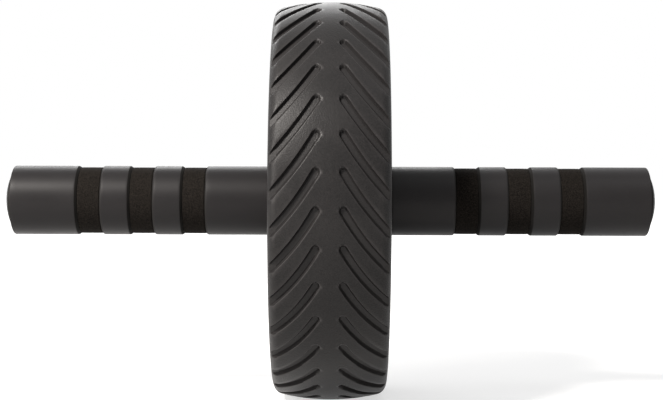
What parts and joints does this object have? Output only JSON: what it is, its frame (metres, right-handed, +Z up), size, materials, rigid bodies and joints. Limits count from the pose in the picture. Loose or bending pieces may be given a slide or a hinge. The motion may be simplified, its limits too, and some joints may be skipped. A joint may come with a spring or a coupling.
{
  "type": "ab wheel roller",
  "caption": "Ab roller: one wide crowned tyre with a chevron tread, turning freely on a straight tube axle with banded foam and rubber handles.",
  "frame": {"origin": "middle of the wheel, on the centre line of the axle tube", "axes": "+X along the axle tube towards the right-hand grip, +Z up, the picture is seen along +Y"},
  "size_m": [0.3114, 0.19, 0.19],
  "materials": {
    "tyre_rubber": "satin",
    "grip_rubber": "satin",
    "grip_foam": "matte",
    "hub_plastic": "satin",
    "bush_plastic": "satin",
    "washer_plastic": "matte",
    "plug_plastic": "satin",
    "tube_steel": "satin",
    "screw_steel": "satin"
  },
  "bodies": {
    "handle": {"axle_tube": "tube_steel", "thrust_washer_left": "washer_plastic", "inner_sleeve_left": "grip_rubber", "foam_band_inner_left": "grip_foam", "grip_ring_inner_left": "grip_rubber", "foam_band_middle_left": "grip_foam", "grip_ring_outer_left": "grip_rubber", "foam_band_outer_left": "grip_foam", "end_sleeve_left": "grip_rubber", "end_plug_left": "plug_plastic", "thrust_washer_right": "washer_plastic", "inner_sleeve_right": "grip_rubber", "foam_band_inner_right": "grip_foam", "grip_ring_inner_right": "grip_rubber", "foam_band_middle_right": "grip_foam", "grip_ring_outer_right": "grip_rubber", "foam_band_outer_right": "grip_foam", "end_sleeve_right": "grip_rubber", "end_plug_right": "plug_plastic"},
    "wheel": {"tyre": "tyre_rubber", "hub_left": "hub_plastic", "hub_right": "hub_plastic", "hub_screws": "screw_steel", "bush_left": "bush_plastic", "bush_right": "bush_plastic"}
  },
  "joints": [
    {"name": "wheel_spin", "type": "hinge", "parent": "handle", "child": "wheel", "pos_m": [0, 0, 0], "axis": [1, 0, 0], "continuous": true}
  ]
}
